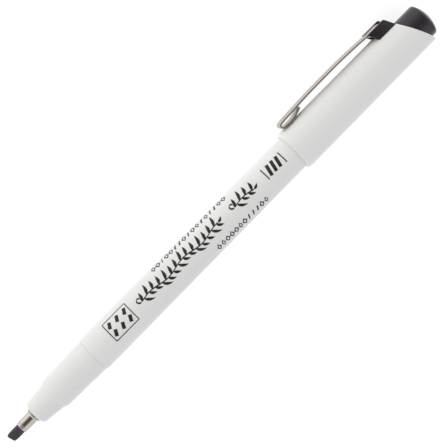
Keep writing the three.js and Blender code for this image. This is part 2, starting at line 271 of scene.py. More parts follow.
def lofted(sections):
    """A solid through closed sections with the same number of points."""
    mesh = bmesh.new()
    rings = [[mesh.verts.new(point) for point in section] for section in sections]
    for ring, beyond in zip(rings, rings[1:]):
        for i, corner in enumerate(ring):
            k = (i + 1) % len(ring)
            mesh.faces.new((corner, ring[k], beyond[k], beyond[i]))
    for ring in (rings[0], rings[-1]):
        middle = mesh.verts.new(sum((v.co for v in ring), Vector()) / len(ring))
        for i, corner in enumerate(ring):
            mesh.faces.new((corner, ring[(i + 1) % len(ring)], middle))
    bmesh.ops.recalc_face_normals(mesh, faces=mesh.faces)
    return mesh


def prism(outline, width, bevel=0.0):
    """A solid of even width from a side view in the clip's plane, its long edges bevelled."""
    mesh = bmesh.new()
    near = [mesh.verts.new((x, a, -width / 2)) for x, a in outline]
    far = [mesh.verts.new((x, a, width / 2)) for x, a in outline]
    caps = [mesh.faces.new(near), mesh.faces.new(far)]
    for i, corner in enumerate(near):
        k = (i + 1) % len(near)
        mesh.faces.new((corner, near[k], far[k], far[i]))
    bmesh.ops.recalc_face_normals(mesh, faces=mesh.faces)
    if bevel:
        edges = [edge for face in caps for edge in face.edges]
        bmesh.ops.bevel(mesh, geom=edges, offset=bevel, segments=4, profile=0.5, affect="EDGES")
    return mesh


def combined(base, *changes):
    """The base with solids cut from it or joined to it, each change an (operation, solid) pair."""
    holder = object_of("combined", base)
    tools = []
    for operation, solid in changes:
        tool = object_of("tool", solid)
        modifier = holder.modifiers.new("change", "BOOLEAN")
        modifier.operation = operation
        modifier.solver = "EXACT"
        modifier.object = tool
        tools.append(tool)
    mesh = read_back(holder)
    for tool in (holder, *tools):
        bpy.data.meshes.remove(tool.data)
    bmesh.ops.remove_doubles(mesh, verts=mesh.verts, dist=1e-4)
    bmesh.ops.dissolve_degenerate(mesh, edges=mesh.edges, dist=1e-4)
    return mesh


def object_of(name, mesh):
    """A scene object from a bmesh, which is freed."""
    data = bpy.data.meshes.new(name)
    mesh.to_mesh(data)
    mesh.free()
    made = bpy.data.objects.new(name, data)
    bpy.context.scene.collection.objects.link(made)
    return made


def read_back(item):
    """A bmesh of an object as its modifiers leave it."""
    graph = bpy.context.evaluated_depsgraph_get()
    data = bpy.data.meshes.new_from_object(item.evaluated_get(graph))
    mesh = bmesh.new()
    mesh.from_mesh(data)
    bpy.data.meshes.remove(data)
    return mesh


def finished(context, name, mesh, finish, body, node=None, slot=None, sharp=34):
    """Places a bmesh in the row frame as a shaded piece that rides on its CAD body."""
    mesh.transform(PEN)
    piece = object_of(name, mesh)
    piece.data.shade_smooth()
    piece.data.set_sharp_from_angle(angle=math.radians(sharp))
    piece.data.materials.append(finish_for(context, finish))
    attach(piece, body)
    if node:
        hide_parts(node)
        slot = slot or finish


# ---- materials ----

# Heights of the finest marks, of a moulded skin and of felt fibres, in metres.
FINE_RELIEF, SKIN_RELIEF, FIBRE_RELIEF = 0.00001, 0.00002, 0.00005


def fed(tree, made, values):
    """Sets a node's inputs, each to a value or to another node's output."""
    for key, value in values.items():
        if isinstance(value, bpy.types.NodeSocket):
            tree.links.new(value, made.inputs[key])
        else:
            made.inputs[key].default_value = value
    return made


def node(tree, kind, values=None, **settings):
    """Adds a node, with settings on it and values or links on its inputs."""
    made = tree.nodes.new(kind)
    for key, value in settings.items():
        setattr(made, key, value)
    return fed(tree, made, values or {})


def ranged(tree, value, low, high, start=0.3, end=0.7, **settings):
    """The value, taken from the span between start and end to that between low and high."""
    return node(tree, "ShaderNodeMapRange", {
        "Value": value, "From Min": start, "From Max": end, "To Min": low, "To Max": high,
    }, **settings).outputs["Result"]


def blended(tree, share, *colours):
    """A colour between two, each a colour or a socket, by a share."""
    first, second = (c if isinstance(c, bpy.types.NodeSocket) else (*c, 1) for c in colours)
    mix = node(tree, "ShaderNodeMix", {"Factor": share, 6: first, 7: second}, data_type="RGBA")
    return mix.outputs[2]


def shade(tone, amount, tint=(1, 1, 1)):
    return tuple(min(1.0, c * amount * t) for c, t in zip(tone, tint))


class Surface:
    """A material in the making: noise fields tint it, set its roughness and raise it."""

    def __init__(self, name, tone):
        old = bpy.data.materials.get(name)
        if old:
            bpy.data.materials.remove(old)
        self.material = bpy.data.materials.new(name)
        self.material.use_nodes = True
        self.tree = self.material.node_tree
        self.shader = next(n for n in self.tree.nodes if n.type == "BSDF_PRINCIPLED")
        self.place = node(self.tree, "ShaderNodeTexCoord").outputs["Object"]
        self.tone, self.values = tone, {}

    def noise(self, scale, stretch=(1, 1, 1), detail=4.0, roughness=0.5):
        """A field with features of 1 / scale metres, stretched along the row frame's axes."""
        place = node(self.tree, "ShaderNodeMapping", {"Vector": self.place, "Scale": stretch})
        return node(self.tree, "ShaderNodeTexNoise", {
            "Vector": place.outputs["Vector"], "Scale": scale, "Detail": detail, "Roughness": roughness,
        }).outputs["Fac"]

    def pointiness(self):
        """A field above a half on an edge of the surface, and below it in a hollow."""
        return node(self.tree, "ShaderNodeNewGeometry").outputs["Pointiness"]

    def tint(self, field, tone, low=0, high=1, *ends):
        """Lays a tone over the colour, by a field."""
        self.tone = blended(self.tree, ranged(self.tree, field, low, high, *ends), self.tone, tone)

    def roughen(self, field, low, high):
        self.values["Roughness"] = ranged(self.tree, field, low, high)

    def bump(self, field, strength, distance):
        """Raises the surface by a field, over the bumps before it."""
        values = {"Strength": strength, "Distance": distance, "Height": field}
        if "Normal" in self.values:
            values["Normal"] = self.values["Normal"]
        self.values["Normal"] = node(self.tree, "ShaderNodeBump", values).outputs["Normal"]

    def done(self, **values):
        fed(self.tree, self.shader, {"Base Color": self.tone, **self.values})
        fed(self.tree, self.shader, {key.replace("_", " "): value for key, value in values.items()})
        return self.material


def moulded_plastic(name, tone, roughness, grain=0.06, tint=(0.985, 0.99, 1.0), shine=0.5):
    """Injection-moulded plastic: faint flow tone, a fine skin, and rubbed patches of gloss."""
    s = Surface(name, tone)
    s.tint(s.noise(90, (0.35, 1, 1), 3.0), shade(tone, 0.97, tint))
    s.tint(s.noise(5200, detail=2.0), shade(tone, 0.84), 0, 1, 0.74, 0.8)
    s.roughen(s.noise(260, (0.5, 1, 1), 6.0), roughness - 0.05, roughness + 0.06)
    s.bump(s.noise(3800, detail=3.0), grain, SKIN_RELIEF)
    scratches = s.noise(2400, (0.06, 1, 1), 2.0)
    s.bump(ranged(s.tree, scratches, 0, 1, 0.62, 0.72), grain, FINE_RELIEF)
    return s.done(IOR=1.49, Specular_IOR_Level=shine)


def turned_metal(name, tone, roughness):
    """Bright plated tube with the fine rings of turning and slight tarnish, darkened in its hollows with
    painted shade.
    """
    s = Surface(name, tone)
    rings = s.noise(1000, (14, 0.4, 0.4), 2.0)
    s.tint(s.noise(900, (1, 1, 1), 5.0), shade(tone, 0.88, (1, 0.97, 0.92)))
    # painted shade: the colour darkens in the hollows, by pointiness
    s.tint(s.pointiness(), shade(tone, 0.3, (1, 0.85, 0.7)), 0.8, 0, 0.4, 0.49)
    s.roughen(rings, roughness - 0.03, roughness + 0.05)
    s.bump(rings, 0.08, FINE_RELIEF)
    return s.done(Metallic=1.0, Specular_Tint=(0.38, 0.34, 0.3, 1))


def brushed_steel(name, tone, roughness):
    """Spring strip, drawn along its length, with faint stains and painted shade along its edges."""
    s = Surface(name, tone)
    grain = s.noise(1000, (0.05, 9, 9), 3.0)
    s.tint(grain, shade(tone, 0.86))
    s.tint(s.noise(420, (0.5, 1, 1), 5.0), shade(tone, 0.74, (1, 0.95, 0.88)), 0, 0.5, 0.5, 0.75)
    # painted shade: the colour darkens along the strip's edges, by pointiness
    s.tint(s.pointiness(), shade(tone, 0.45, (1, 0.94, 0.86)), 0, 0.75, 0.52, 0.6)
    s.roughen(grain, roughness - 0.05, roughness + 0.08)
    s.bump(grain, 0.12, FINE_RELIEF)
    return s.done(Metallic=1.0, Specular_Tint=(0.8, 0.77, 0.74, 1))


def inked_felt(name, tone):
    """Pressed fibre soaked with ink: fibres along the axis and a damp sheen."""
    s = Surface(name, shade(tone, 0.35))
    fibres = s.noise(1000, (0.9, 10, 10), 4.0, 0.6)
    soaked = s.noise(620, (1, 1.6, 1.6), 5.0)
    s.tint(fibres, shade(tone, 1.9))
    s.tint(soaked, shade(tone, 2.4, (1, 0.84, 0.97)), 0, 0.8, 0.42, 0.62)
    s.roughen(fibres, 0.62, 0.9)
    s.bump(fibres, 0.8, FIBRE_RELIEF)
    s.bump(soaked, 0.3, FIBRE_RELIEF)
    return s.done(Sheen_Weight=0.15)


def clear_film(name, tone):
    """Thin natural film, faintly milky, with the streaks of its drawing."""
    s = Surface(name, tone)
    streaks = s.noise(1000, (0.04, 2, 2), 3.0)
    s.tint(streaks, shade(tone, 0.9))
    s.roughen(streaks, 0.16, 0.3)
    s.bump(streaks, 0.1, FINE_RELIEF)
    return s.done(IOR=1.5)


def printing_ink(name, tone):
    """Screen-printed ink: dense, slightly satin, thin in places."""
    s = Surface(name, tone)
    cover = s.noise(2600)
    s.tint(cover, (0.06, 0.06, 0.06), 0, 1, 0.55, 0.8)
    s.roughen(cover, 0.35, 0.55)
    s.bump(cover, 0.15, FINE_RELIEF)
    return s.done()


def pale_floor(name, tone, glow):
    """Plain seamless paper with a barely seen tooth, which glows to white."""
    s = Surface(name, tone)
    tooth = s.noise(700, detail=3.0)
    s.tone = blended(s.tree, tooth, tone, shade(tone, 0.992))
    s.roughen(tooth, 0.86, 0.96)
    return s.done(Specular_IOR_Level=0.1, Emission_Color=(1, 1, 1, 1), Emission_Strength=glow)


FINISHES = {
    "white_plastic": lambda f: moulded_plastic("white_moulded_plastic", f.white, f.gloss, shine=0.3),
    "black_plastic": lambda f: moulded_plastic(
        "black_moulded_plastic", f.black, f.gloss * 0.38, 0.1, (1.0, 0.98, 1.05), 0.55
    ),
    "natural_plastic": lambda f: moulded_plastic("natural_moulded_plastic", f.natural, 0.38, 0.1),
    "polished_metal": lambda f: turned_metal("turned_metal", f.metal, 0.11),
    "spring_steel": lambda f: brushed_steel("brushed_spring_steel", f.steel, 0.22),
    "inked_felt": lambda f: inked_felt("inked_felt", f.felt),
    "ink_wadding": lambda f: inked_felt("inked_wadding", shade(f.felt, 1.5)),
    "clear_film": lambda f: clear_film("clear_film", f.natural),
    "printing_ink": lambda f: printing_ink("printing_ink", f.ink),
}
made_finishes = {}


def finish_for(context, key):
    """The material of a finish, made the first time that it is asked for."""
    if key not in made_finishes:
        made_finishes[key] = FINISHES[key](context.scene.marker_finish)
    return made_finishes[key]


# ---- operators ----


class MarkerBuildNib(bpy.types.Operator):
    """Build the felt nib, thinned to a slanted chisel edge"""

    bl_idname = "marker.build_nib"
    bl_label = "Nib"

    def execute(self, context):
        s = shape_of(context)
        edge, width, reach = s.nib_edge / MM / 2, s.nib_width / MM, s.nib_reach / MM
        end = span("nib")[1]
        plan_round, side_round, slant, slant_from, ease = 0.34, 0.13, 0.215, 0.6, 0.1
        places = [0, 0.006, 0.02, 0.045, 0.08, 0.13, 0.19, 0.26, 0.35, 0.45]
        close = places[-1]
        places += [close + (reach - close) * i / 26 for i in range(1, 27)]
        places += [reach + (end - reach) * i / 24 for i in range(1, 25)]
        sides = 120
        sections = []
        for place in places:
            thin = edge + (ROD_RADIUS - edge) * min(1, place / reach)
            wide = width + ease + (ROD_RADIUS - width - ease) * min(1, place / (reach * 0.5))
            wide -= corner_inset(place, plan_round)
            thin -= corner_inset(place, side_round)
            section = []
            for k in range(sides):
                turn = 2 * math.pi * k / sides
                cos, sin = math.cos(turn), math.sin(turn)
                out = soft_least(ROD_RADIUS, wide / max(1e-4, abs(cos)), thin / max(1e-4, abs(sin)))
                grain = noise.noise(Vector((9 * cos, 9 * sin, place * 0.5)))
                fuzz = noise.noise(Vector((30 * cos, 30 * sin, place * 3)))
                if place > 0:
                    out *= 1 + 0.010 * grain + 0.004 * fuzz
                lean = slant * max(0, slant_from - out * cos) * max(0, 1 - place / reach)
                section.append((out * cos, place + lean, out * sin))
            sections.append(section)
        mesh = lofted(sections)
        mesh.transform(Matrix.Rotation(s.nib_roll, 4, "Y"))
        finished(context, "felt_nib", mesh, "inked_felt", "pen", "nib", sharp=60)
        return {"FINISHED"}


def corner_inset(place, radius):
    """How far a rounded corner has drawn in at a place behind the front."""
    if place >= radius:
        return 0
    return radius - math.sqrt(radius ** 2 - (radius - place) ** 2)


def soft_least(*values, sharpness=13):
    """The least of some distances, with the corners between them eased."""
    return sum(value ** -sharpness for value in values) ** (-1 / sharpness)


class MarkerBuildFerrule(bpy.types.Operator):
    """Build the bright metal tube that holds the nib"""

    bl_idname = "marker.build_ferrule"
    bl_label = "Ferrule"

    def execute(self, context):
        s = shape_of(context)
        front, back = span("ferrule")
        nose = span("grip_section")[0]
        lip_front, lip, lip_back, groove_radius, radius = 1.49, 1.535, 1.525, 1.455, 1.58
        groove, flare = front + s.ferrule_lip / MM, s.ferrule_flare / MM
        outline = rounded([
            (ROD_BORE, front, 0.02),
            (lip_front, front, 0.05), (lip, front + 0.2, 0.25), (lip_back, groove - 0.1, 0.08),
            (groove_radius, groove, 0.02), (groove_radius, groove + 0.13, 0.02),
            (radius, groove + 0.22, 0.06),
            # the skirt that spreads out to the nose
            (radius + 0.02, nose - 0.75, 0.4), (radius + flare * 0.25, nose - 0.42, 0.3),
            (radius + flare, nose - 0.28, 0.08), (radius + flare, nose - 0.08, 0.05),
            (radius + flare * 0.5, nose - 0.03, 0.03), (radius, nose - 0.03, 0.02),
            (radius, back, 0.05), (ROD_BORE, back, 0.03),
        ], 6, 0.02)
        finished(context, "ferrule_tube", turned(outline, s.sides), "polished_metal", "pen", "ferrule")
        return {"FINISHED"}


class MarkerBuildSection(bpy.types.Operator):
    """Build the grip section with its nose, step, grip, snap ring and spigot"""

    bl_idname = "marker.build_section"
    bl_label = "Grip Section"

    def execute(self, context):
        s = shape_of(context)
        nose, end = span("grip_section")
        seam = span("barrel")[0] - 0.05
        step, grip, ring, neck = nose + 6.6, nose + 8.1, seam - 4.0, seam - 2.2
        seat, chamber, step_radius, grip_radius, neck_radius = 1.62, 2.79, 4.02, 4.565, 4.86
        nose_radius, nose_round = 3.45, s.nose_round / MM
        outline = rounded([
            (seat, nose + 0.05, 0.12),
            *arc(nose_radius - nose_round, nose + nose_round, nose_round, -90, 0, 16),
            # the step, and the grip that widens from it to the snap ring
            (step_radius, step, 0.9), (4.18, step + 0.5, 0.9), (4.5, step + 1.25, 0.9),
            (grip_radius, grip, 0.8), (4.77, ring, 0.1),
            (neck_radius, ring + 0.1, 0.1), (4.915, ring + 1.0, 0.9),
            (neck_radius, neck, 0.5), (neck_radius, seam + 0.02, 0.02),
            # the spigot, and the chamber inside it
            (SPIGOT_RADIUS, seam + 0.02, 0.05), (SPIGOT_RADIUS, end - 0.5, 0.2),
            (3.9, end, 0.1), (3.05, end, 0.1),
            (chamber, end - 12.0, 0.2), (chamber, nose + 6.5, 0.2), (seat, nose + 5.2, 0.1),
        ], 8)
        finished(context, "grip", turned(outline, s.sides), "white_plastic", "pen", "grip_section")
        return {"FINISHED"}


class MarkerBuildBarrel(bpy.types.Operator):
    """Build the tapered barrel and the plug that closes its tail"""

    bl_idname = "marker.build_barrel"
    bl_label = "Barrel"

    def execute(self, context):
        s = shape_of(context)
        front, back = span("barrel")
        wide, seam_radius, shoulder = outer_radius("barrel"), 4.88, s.shoulder / MM
        outline = rounded([
            (BARREL_BORE, front, 0.04), (seam_radius, front, 0.02),
            *arc(wide - shoulder, front + shoulder, shoulder, -58, 0, 10),
            (wide, front + TAPER_START, 6.0), (BARREL_REAR, back, 0.5), (BARREL_BORE, back, 0.08),
        ], 8)
        finished(context, "barrel_tube", turned(outline, s.sides), "white_plastic", "pen", "barrel")

        radius, wall, dimple = BARREL_BORE - 0.04, 0.9, 0.18
        front, back = span("tail_plug")
        outline = rounded([
            (radius - wall, front, 0.1), (radius - 0.25, front, 0.1), (radius, front + 0.6, 0.2),
            (radius, back, 0.22),
            # the gate's dimple in the closed end
            (1.1, back, 0.06), (0.95, back - dimple, 0.06), (0.25, back - dimple, 0.05),
            (0.0, back - 0.12), (0.0, back - wall), (radius - wall, back - wall, 0.2),
        ], 5)
        finished(context, "barrel_end", turned(outline, s.sides), "white_plastic", "pen", "tail_plug")
        return {"FINISHED"}


class MarkerBuildReservoir(bpy.types.Operator):
    """Build the ink wadding, its film and the holder behind the nib"""

    bl_idname = "marker.build_reservoir"
    bl_label = "Ink Reservoir"

    def execute(self, context):
        s = shape_of(context)
        radius = outer_radius("reservoir_film")
        socket = span("nib")[1] + 0.05
        crumple, pleats = 0.035, 23

        def wadding(turn):
            front, back = span("reservoir_core")
            side = radius - 0.26 + crumple * math.sin(pleats * turn)
            return rounded([
                (0.0, socket), (ROD_BORE, socket, 0.05), (ROD_BORE, front, 0.1),
                (side, front, 0.5), (side, back, 0.5), (0.0, back),
            ])

        def film(turn):
            front, back = span("reservoir_film")
            pinch = crumple * math.sin(pleats * turn)
            inside, outside = radius - 0.2 + pinch, radius - 0.05 + pinch
            return rounded([
                (inside, front, 0.03), (outside, front, 0.03), (outside, back, 0.03), (inside, back, 0.03),
            ])

        finished(context, "ink_wadding", turned(wadding, s.sides), "ink_wadding", "pen", "reservoir_core")
        finished(context, "wadding_film", turned(film, s.sides), "clear_film", "pen", "reservoir_film",
                 "natural_plastic")

        front, back = span("nib_holder")
        crest, hollow = 2.75, 2.35
        outline = [(ROD_BORE, front), (2.4, front, 0.1), (crest, front + 0.4, 0.1)]
        for rib in range(7):
            place = front + 1.4 + rib * (back - front - 2.8) / 6
            outline += [(crest, place - 0.35, 0.1), (hollow, place - 0.15, 0.1)]
            outline += [(hollow, place + 0.15, 0.1), (crest, place + 0.35, 0.1)]
        outline += [(crest, back, 0.2), (ROD_BORE, back)]
        finished(context, "nib_sleeve", turned(rounded(outline), s.sides), "natural_plastic", "pen",
                 "nib_holder")
        return {"FINISHED"}


def cut_axis(cap):
    """Where the cap's oblique cut crosses the axis."""
    return span("cap_plug")[1] - cap.plug_show / MM


def block_place(cap):
    """Where the clip block's front plane would cross the axis."""
    return cut_axis(cap) - cap.block_length / MM


def behind(place, slope, low, high, back):
    """Side view of the room behind a plane that leans as the cap's cut does."""
    return [(low, place - slope * low), (high, place - slope * high), (high, back), (low, back)]


class MarkerBuildCapTube(bpy.types.Operator):
    """Build the cap's tube with its oblique tail and the notch for the clip block"""

    bl_idname = "marker.build_cap_tube"
    bl_label = "Cap Tube"

    def execute(self, context):
        s, cap = shape_of(context), cap_of(context)
        mouth = span("cap_tube")[0]
        plug, end = span("cap_plug")
        liner = span("cap_liner")[0]
        wide, narrow = outer_radius("cap_tube"), 5.83
        bore, plug_bore, liner_bore = 5.085, 4.84, 4.88
        mouth_bore, bead_bore = bore - 0.09, bore - 0.1
        bead, band = mouth + 2.6, mouth + 4.0
        slope, cross = cap.cut_slope, cut_axis(cap)
        lip, rim = cap.lip_round / MM, cap.rim_round / MM

        def outline(turn):
            lean = slope * math.cos(turn)
            tail = wide - (wide - narrow) * (cross - lean * narrow - band) / (end - band)
            return rounded([
                (bore, mouth + 0.9, 0.2), (mouth_bore, mouth + 0.5, 0.2), (mouth_bore, mouth, 0.14),
                (wide - lip, mouth, lip * 0.5), (wide - lip * 0.2, mouth + lip * 0.9, lip),
                (wide, mouth + lip * 2.8, lip * 2), (wide, band, 3.0),
                # the oblique tail
                (tail, cross - lean * tail, rim), (plug_bore, cross - lean * plug_bore, rim),
                (plug_bore, plug - 0.1), (liner_bore, plug - 0.3), (liner_bore, liner - 0.05),
                (bore, liner - 0.35, 0.1),
                # the bead that grips the snap ring
                (bore, bead + 0.7, 0.3), (bead_bore, bead + 0.15, 0.15),
                (bead_bore, bead - 0.15, 0.15), (bore, bead - 0.7, 0.3),
            ], 6)

        gap = 0.05
        notch_place = block_place(cap) - gap * math.hypot(1, slope)
        notch = prism(behind(notch_place, slope, 0, 12, end + 12), cap.block_width / MM + SIDE_ROOM)
        tube = combined(turned(outline, s.sides), ("DIFFERENCE", notch))
        finished(context, "cap_shell", tube, "white_plastic", "cap", "cap_tube")
        return {"FINISHED"}


class MarkerBuildCapLiner(bpy.types.Operator):
    """Build the liner that seals the nib inside the cap"""

    bl_idname = "marker.build_cap_liner"
    bl_label = "Cap Liner"

    def execute(self, context):
        s = shape_of(context)
        front, back = span("cap_liner")
        outer, floor = 4.84, 0.8
        bore = outer - 0.62
        outline = rounded([
            (bore, front, 0.2), (outer - 0.1, front, 0.15), (outer, front + 0.2, 0.2),
            (outer, back - 0.5, 0.2), (outer - 0.4, back, 0.2), (0.0, back),
            (0.0, back - floor), (bore - 0.1, back - floor, 0.5),
        ], 6)
        finished(context, "inner_cap", turned(outline, s.sides), "natural_plastic", "cap_lining",
                 "cap_liner")
        return {"FINISHED"}


class MarkerBuildCapPlug(bpy.types.Operator):
    """Build the black plug with its domed end and the block that holds the clip"""

    bl_idname = "marker.build_cap_plug"
    bl_label = "Cap Plug"

    def execute(self, context):
        s, cap = shape_of(context), cap_of(context)
        front, end = span("cap_plug")
        radius, wall = 4.8, 1.2
        dome, rim = cap.plug_dome / MM, cap.plug_rim / MM
        share = math.degrees(math.asin((radius - rim) / (dome - rim)))
        rim_place = end - dome + (dome - rim) * math.cos(math.radians(share))
        ends = arc(radius - rim, rim_place, rim, 0, 90 - share, 10)
        ends += arc(0, end - dome, dome, 90 - share * 0.96, 90, 16)
        ends[-1] = (0.0, end)
        core = turned(rounded([
            (radius - wall, front, 0.1), (radius - 0.2, front, 0.1), (radius, front + 0.3, 0.1),
            (radius, rim_place - 0.05),
            *ends,
            (0.0, rim_place - wall), (radius - wall, rim_place - wall, 0.3),
        ]), s.sides)

        slope, top, width = cap.cut_slope, cap.block_top / MM, cap.block_width / MM
        place, cross = block_place(cap), cut_axis(cap)
        low = radius - wall / 2
        block = prism(rounded([
            (low, place - slope * low), (top, place - slope * top, 0.12),
            (top, cross - slope * top, 0.55), (low, cross - slope * low),
        ], 6), width, s.edge / MM)

        inner, tang = strip_inner(cap), tang_place(cap)
        floor, depth = inner - 0.04, inner - 2.16
        half = cap.clip_thickness / MM / 2 + 0.16
        slot_width = cap.clip_width / MM + SIDE_ROOM
        channel = prism([
            (floor, place - 12), (top + 2, place - 12), (top + 2, end + 5), (floor, end + 5),
        ], slot_width)
        pocket = prism([
            (depth, tang - half), (floor - 0.7, tang - half), (floor + 0.1, tang - half - 0.8),
            (floor + 0.1, tang + half), (depth, tang + half),
        ], slot_width)
        hollow = prism(behind(place - 1, slope, low + 0.9, floor - 0.35, place - slope * low + 1.4),
                       width - 2.2)
        plug = combined(core, ("UNION", block), ("DIFFERENCE", channel), ("DIFFERENCE", pocket),
                        ("DIFFERENCE", hollow))
        finished(context, "plug", plug, "black_plastic", "cap", "cap_plug")
        return {"FINISHED"}


def strip_inner(cap):
    """Inner surface of the clip's strip at its root, from the axis."""
    return cap.block_top / MM - 0.15 - cap.clip_thickness / MM


def tang_place(cap):
    """Where the strip bends down into its pocket."""
    return cut_axis(cap) - cap.cut_slope * cap.block_top / MM - 1.05


def smooth_path(points, samples):
    """Evenly spaced points of a curve through the given ones, their directions, and the spacing."""
    dense = []
    last = len(points) - 1
    for i in range(last):
        before, here = Vector(points[max(i - 1, 0)]), Vector(points[i])
        after, beyond = Vector(points[i + 1]), Vector(points[min(i + 2, last)])
        leave, arrive = (after - before) / 2, (beyond - here) / 2
        for k in range(24):
            t = k / 24
            dense.append(
                (2 * t ** 3 - 3 * t ** 2 + 1) * here + (t ** 3 - 2 * t ** 2 + t) * leave
                + (3 * t ** 2 - 2 * t ** 3) * after + (t ** 3 - t ** 2) * arrive
            )
    dense.append(Vector(points[last]))
    walked = [0.0]
    for a, b in zip(dense, dense[1:]):
        walked.append(walked[-1] + (b - a).length)
    path, k = [], 0
    for i in range(samples + 1):
        want = walked[-1] * i / samples
        while k < len(dense) - 2 and walked[k + 1] < want:
            k += 1
        share = (want - walked[k]) / (walked[k + 1] - walked[k])
        path.append(dense[k].lerp(dense[k + 1], share))
    ways = [(path[min(i + 1, samples)] - path[max(i - 1, 0)]).normalized() for i in range(samples + 1)]
    return path, ways, walked[-1] / samples


class MarkerBuildClip(bpy.types.Operator):
    """Build the spring clip, folded under at its free end"""

    bl_idname = "marker.build_clip"
    bl_label = "Clip"

    def execute(self, context):
        cap = cap_of(context)
        thick, width, bow = cap.clip_thickness / MM, cap.clip_width / MM, cap.clip_bow / MM
        loop, block = cap.foot_loop / MM, cap.block_length / MM
        root = strip_inner(cap) + thick / 2
        tang, tip = tang_place(cap), span("clip")[0] + thick / 2
        rest = outer_radius("cap_tube") + 0.05 + thick / 2
        reach = tang - tip
        fold = (root + rest) / 2
        path, ways, step = smooth_path([
            # the tang, and the root that leaves the block
            (root - 2.0, tang), (root - 0.9, tang), (root - 0.25, tang - 0.12), (root, tang - 0.75),
            (root + 0.01, tang - block * 0.7),
            # the bow
            (root + bow * 0.45, tang - reach * 0.2), (root + bow * 0.92, tang - reach * 0.37),
            (root + bow, tang - reach * 0.54), (root + bow * 0.9, tang - reach * 0.72),
            (root + bow * 0.45, tip + loop * 0.6),
            # the foot, folded under
            (root + 0.1, tip + 1.2), (fold + 0.54, tip + 0.24), (fold, tip), (rest + 0.2, tip + 0.4),
            (rest, tip + 1.5), (rest, tip + 3.1), (rest + 0.22, tip + loop * 0.62),
            (root - 0.28, tip + loop),
        ], 300)
        section = rounded([
            (u * thick / 2, w * width / 2, 0.1) for u, w in ((1, 1), (-1, 1), (-1, -1), (1, -1))
        ], 4, 0.03)
        sections = []
        for i, (here, way) in enumerate(zip(path, ways)):
            ahead = min(i, len(path) - 1 - i) * step
            full = 1 - corner_inset(ahead, thick / 2) / (thick / 2) * 0.85
            narrow = 1 - corner_inset(ahead, 0.5) / (width / 2)
            across = Vector((-way.y, way.x))
            sections.append([(*(here + across * (u * full)), w * narrow) for u, w in section])
        finished(context, "spring_clip", lofted(sections), "spring_steel", "clip_strip", "clip")
        return {"FINISHED"}


# ---- printing ----


def strip(mesh, pairs):
    """Faces between flat points in pairs, right and left, that follow each other."""
    rows = [[mesh.verts.new((*point, 0)) for point in pair] for pair in pairs]
    for (a, b), (c, d) in zip(rows, rows[1:]):
        mesh.faces.new((a, c, d, b))


def ribbon(mesh, path, low, high, chisel):
    """A flat pen stroke along a path, broad or thin by its direction against the chisel's edge."""
    edge = Vector((math.cos(chisel), math.sin(chisel)))
    last = len(path) - 1
    pairs = []
    for i, here in enumerate(path):
        way = (path[min(i + 1, last)] - path[max(i - 1, 0)]).normalized()
        half = (low + (high - low) * abs(way.x * edge.y - way.y * edge.x)) / 2
        half *= min(1, 0.35 + min(i, last - i) / 4)
        across = Vector((-way.y, way.x)) * half
        pairs.append((here - across, here + across))
    strip(mesh, pairs)


def band(mesh, start, end, half, steps=28):
    """A straight bar of even width between two flat points."""
    a, b = Vector(start), Vector(end)
    across = (b - a).orthogonal().normalized() * half
    places = [a.lerp(b, i / steps) for i in range(steps + 1)]
    strip(mesh, [(here - across, here + across) for here in places])


def curl(centre, radius, start, sweep, steps=40, eye=0.22):
    """A spiral stroke that winds in from a radius to a small eye."""
    points = []
    for i in range(steps + 1):
        t = i / steps
        out = radius * (1 - (1 - eye) * t)
        turn = start + sweep * t
        points.append(Vector((centre[0] + out * math.cos(turn), centre[1] + out * math.sin(turn))))
    return points


def leaf(mesh, base, turn, size, half, steps=14):
    """A pointed leaf that grows from a flat point, with a slight bend."""
    pairs = []
    for i in range(steps + 1):
        t = i / steps
        bend = turn + 0.5 * (t - 0.4)
        spine = Vector(base) + Vector((math.cos(bend), math.sin(bend))) * (size * t)
        across = Vector((-math.sin(bend), math.cos(bend)))
        across *= half * max(0.03, math.sin(math.pi * t ** 0.8)) ** 0.9
        pairs.append((spine - across, spine + across))
    strip(mesh, pairs)


def dot(mesh, centre, radius, sides=20):
    """A round mark."""
    turns = [2 * math.pi * k / sides for k in range(sides)]
    mesh.faces.new([
        mesh.verts.new((centre.x + radius * math.cos(t), centre.y + radius * math.sin(t), 0))
        for t in turns
    ])


def vine(mesh, start, end, middle, low, high, chisel):
    """A waving stem with leaves on both sides, berries between them and a curl at its foot."""
    pitch, swing, rise, fall = 2.02, 0.46, 0.98, -1.0
    wave = 2 * math.pi / (6 * pitch)

    def stem(x):
        return Vector((x, middle + swing * math.sin((x - start) * wave)))

    steps = int((end - start) / 0.12)
    ribbon(mesh, [stem(start + (end - start) * i / steps) for i in range(steps + 1)],
           low, high * 0.5, chisel)
    for k in range(int((end - start) / pitch) + 1):
        leaf(mesh, stem(start + k * pitch), rise, 3.15 if k % 3 == 1 else 2.6, high * 0.56)
        if start + (k + 0.5) * pitch > end - 0.5:
            continue
        base = stem(start + (k + 0.5) * pitch)
        leaf(mesh, base, fall, 2.9 if k % 3 == 0 else 2.1, high * 0.5)
        dot(mesh, base + Vector((-0.1, 1.1)), low * 1.15)
    leaf(mesh, stem(end), 0.1, 1.7, high * 0.46)
    ribbon(mesh, curl(stem(start) + Vector((-0.35, 0.95)), 0.95, -math.pi / 2 + 0.3, -5.2),
           low, high * 0.6, chisel)


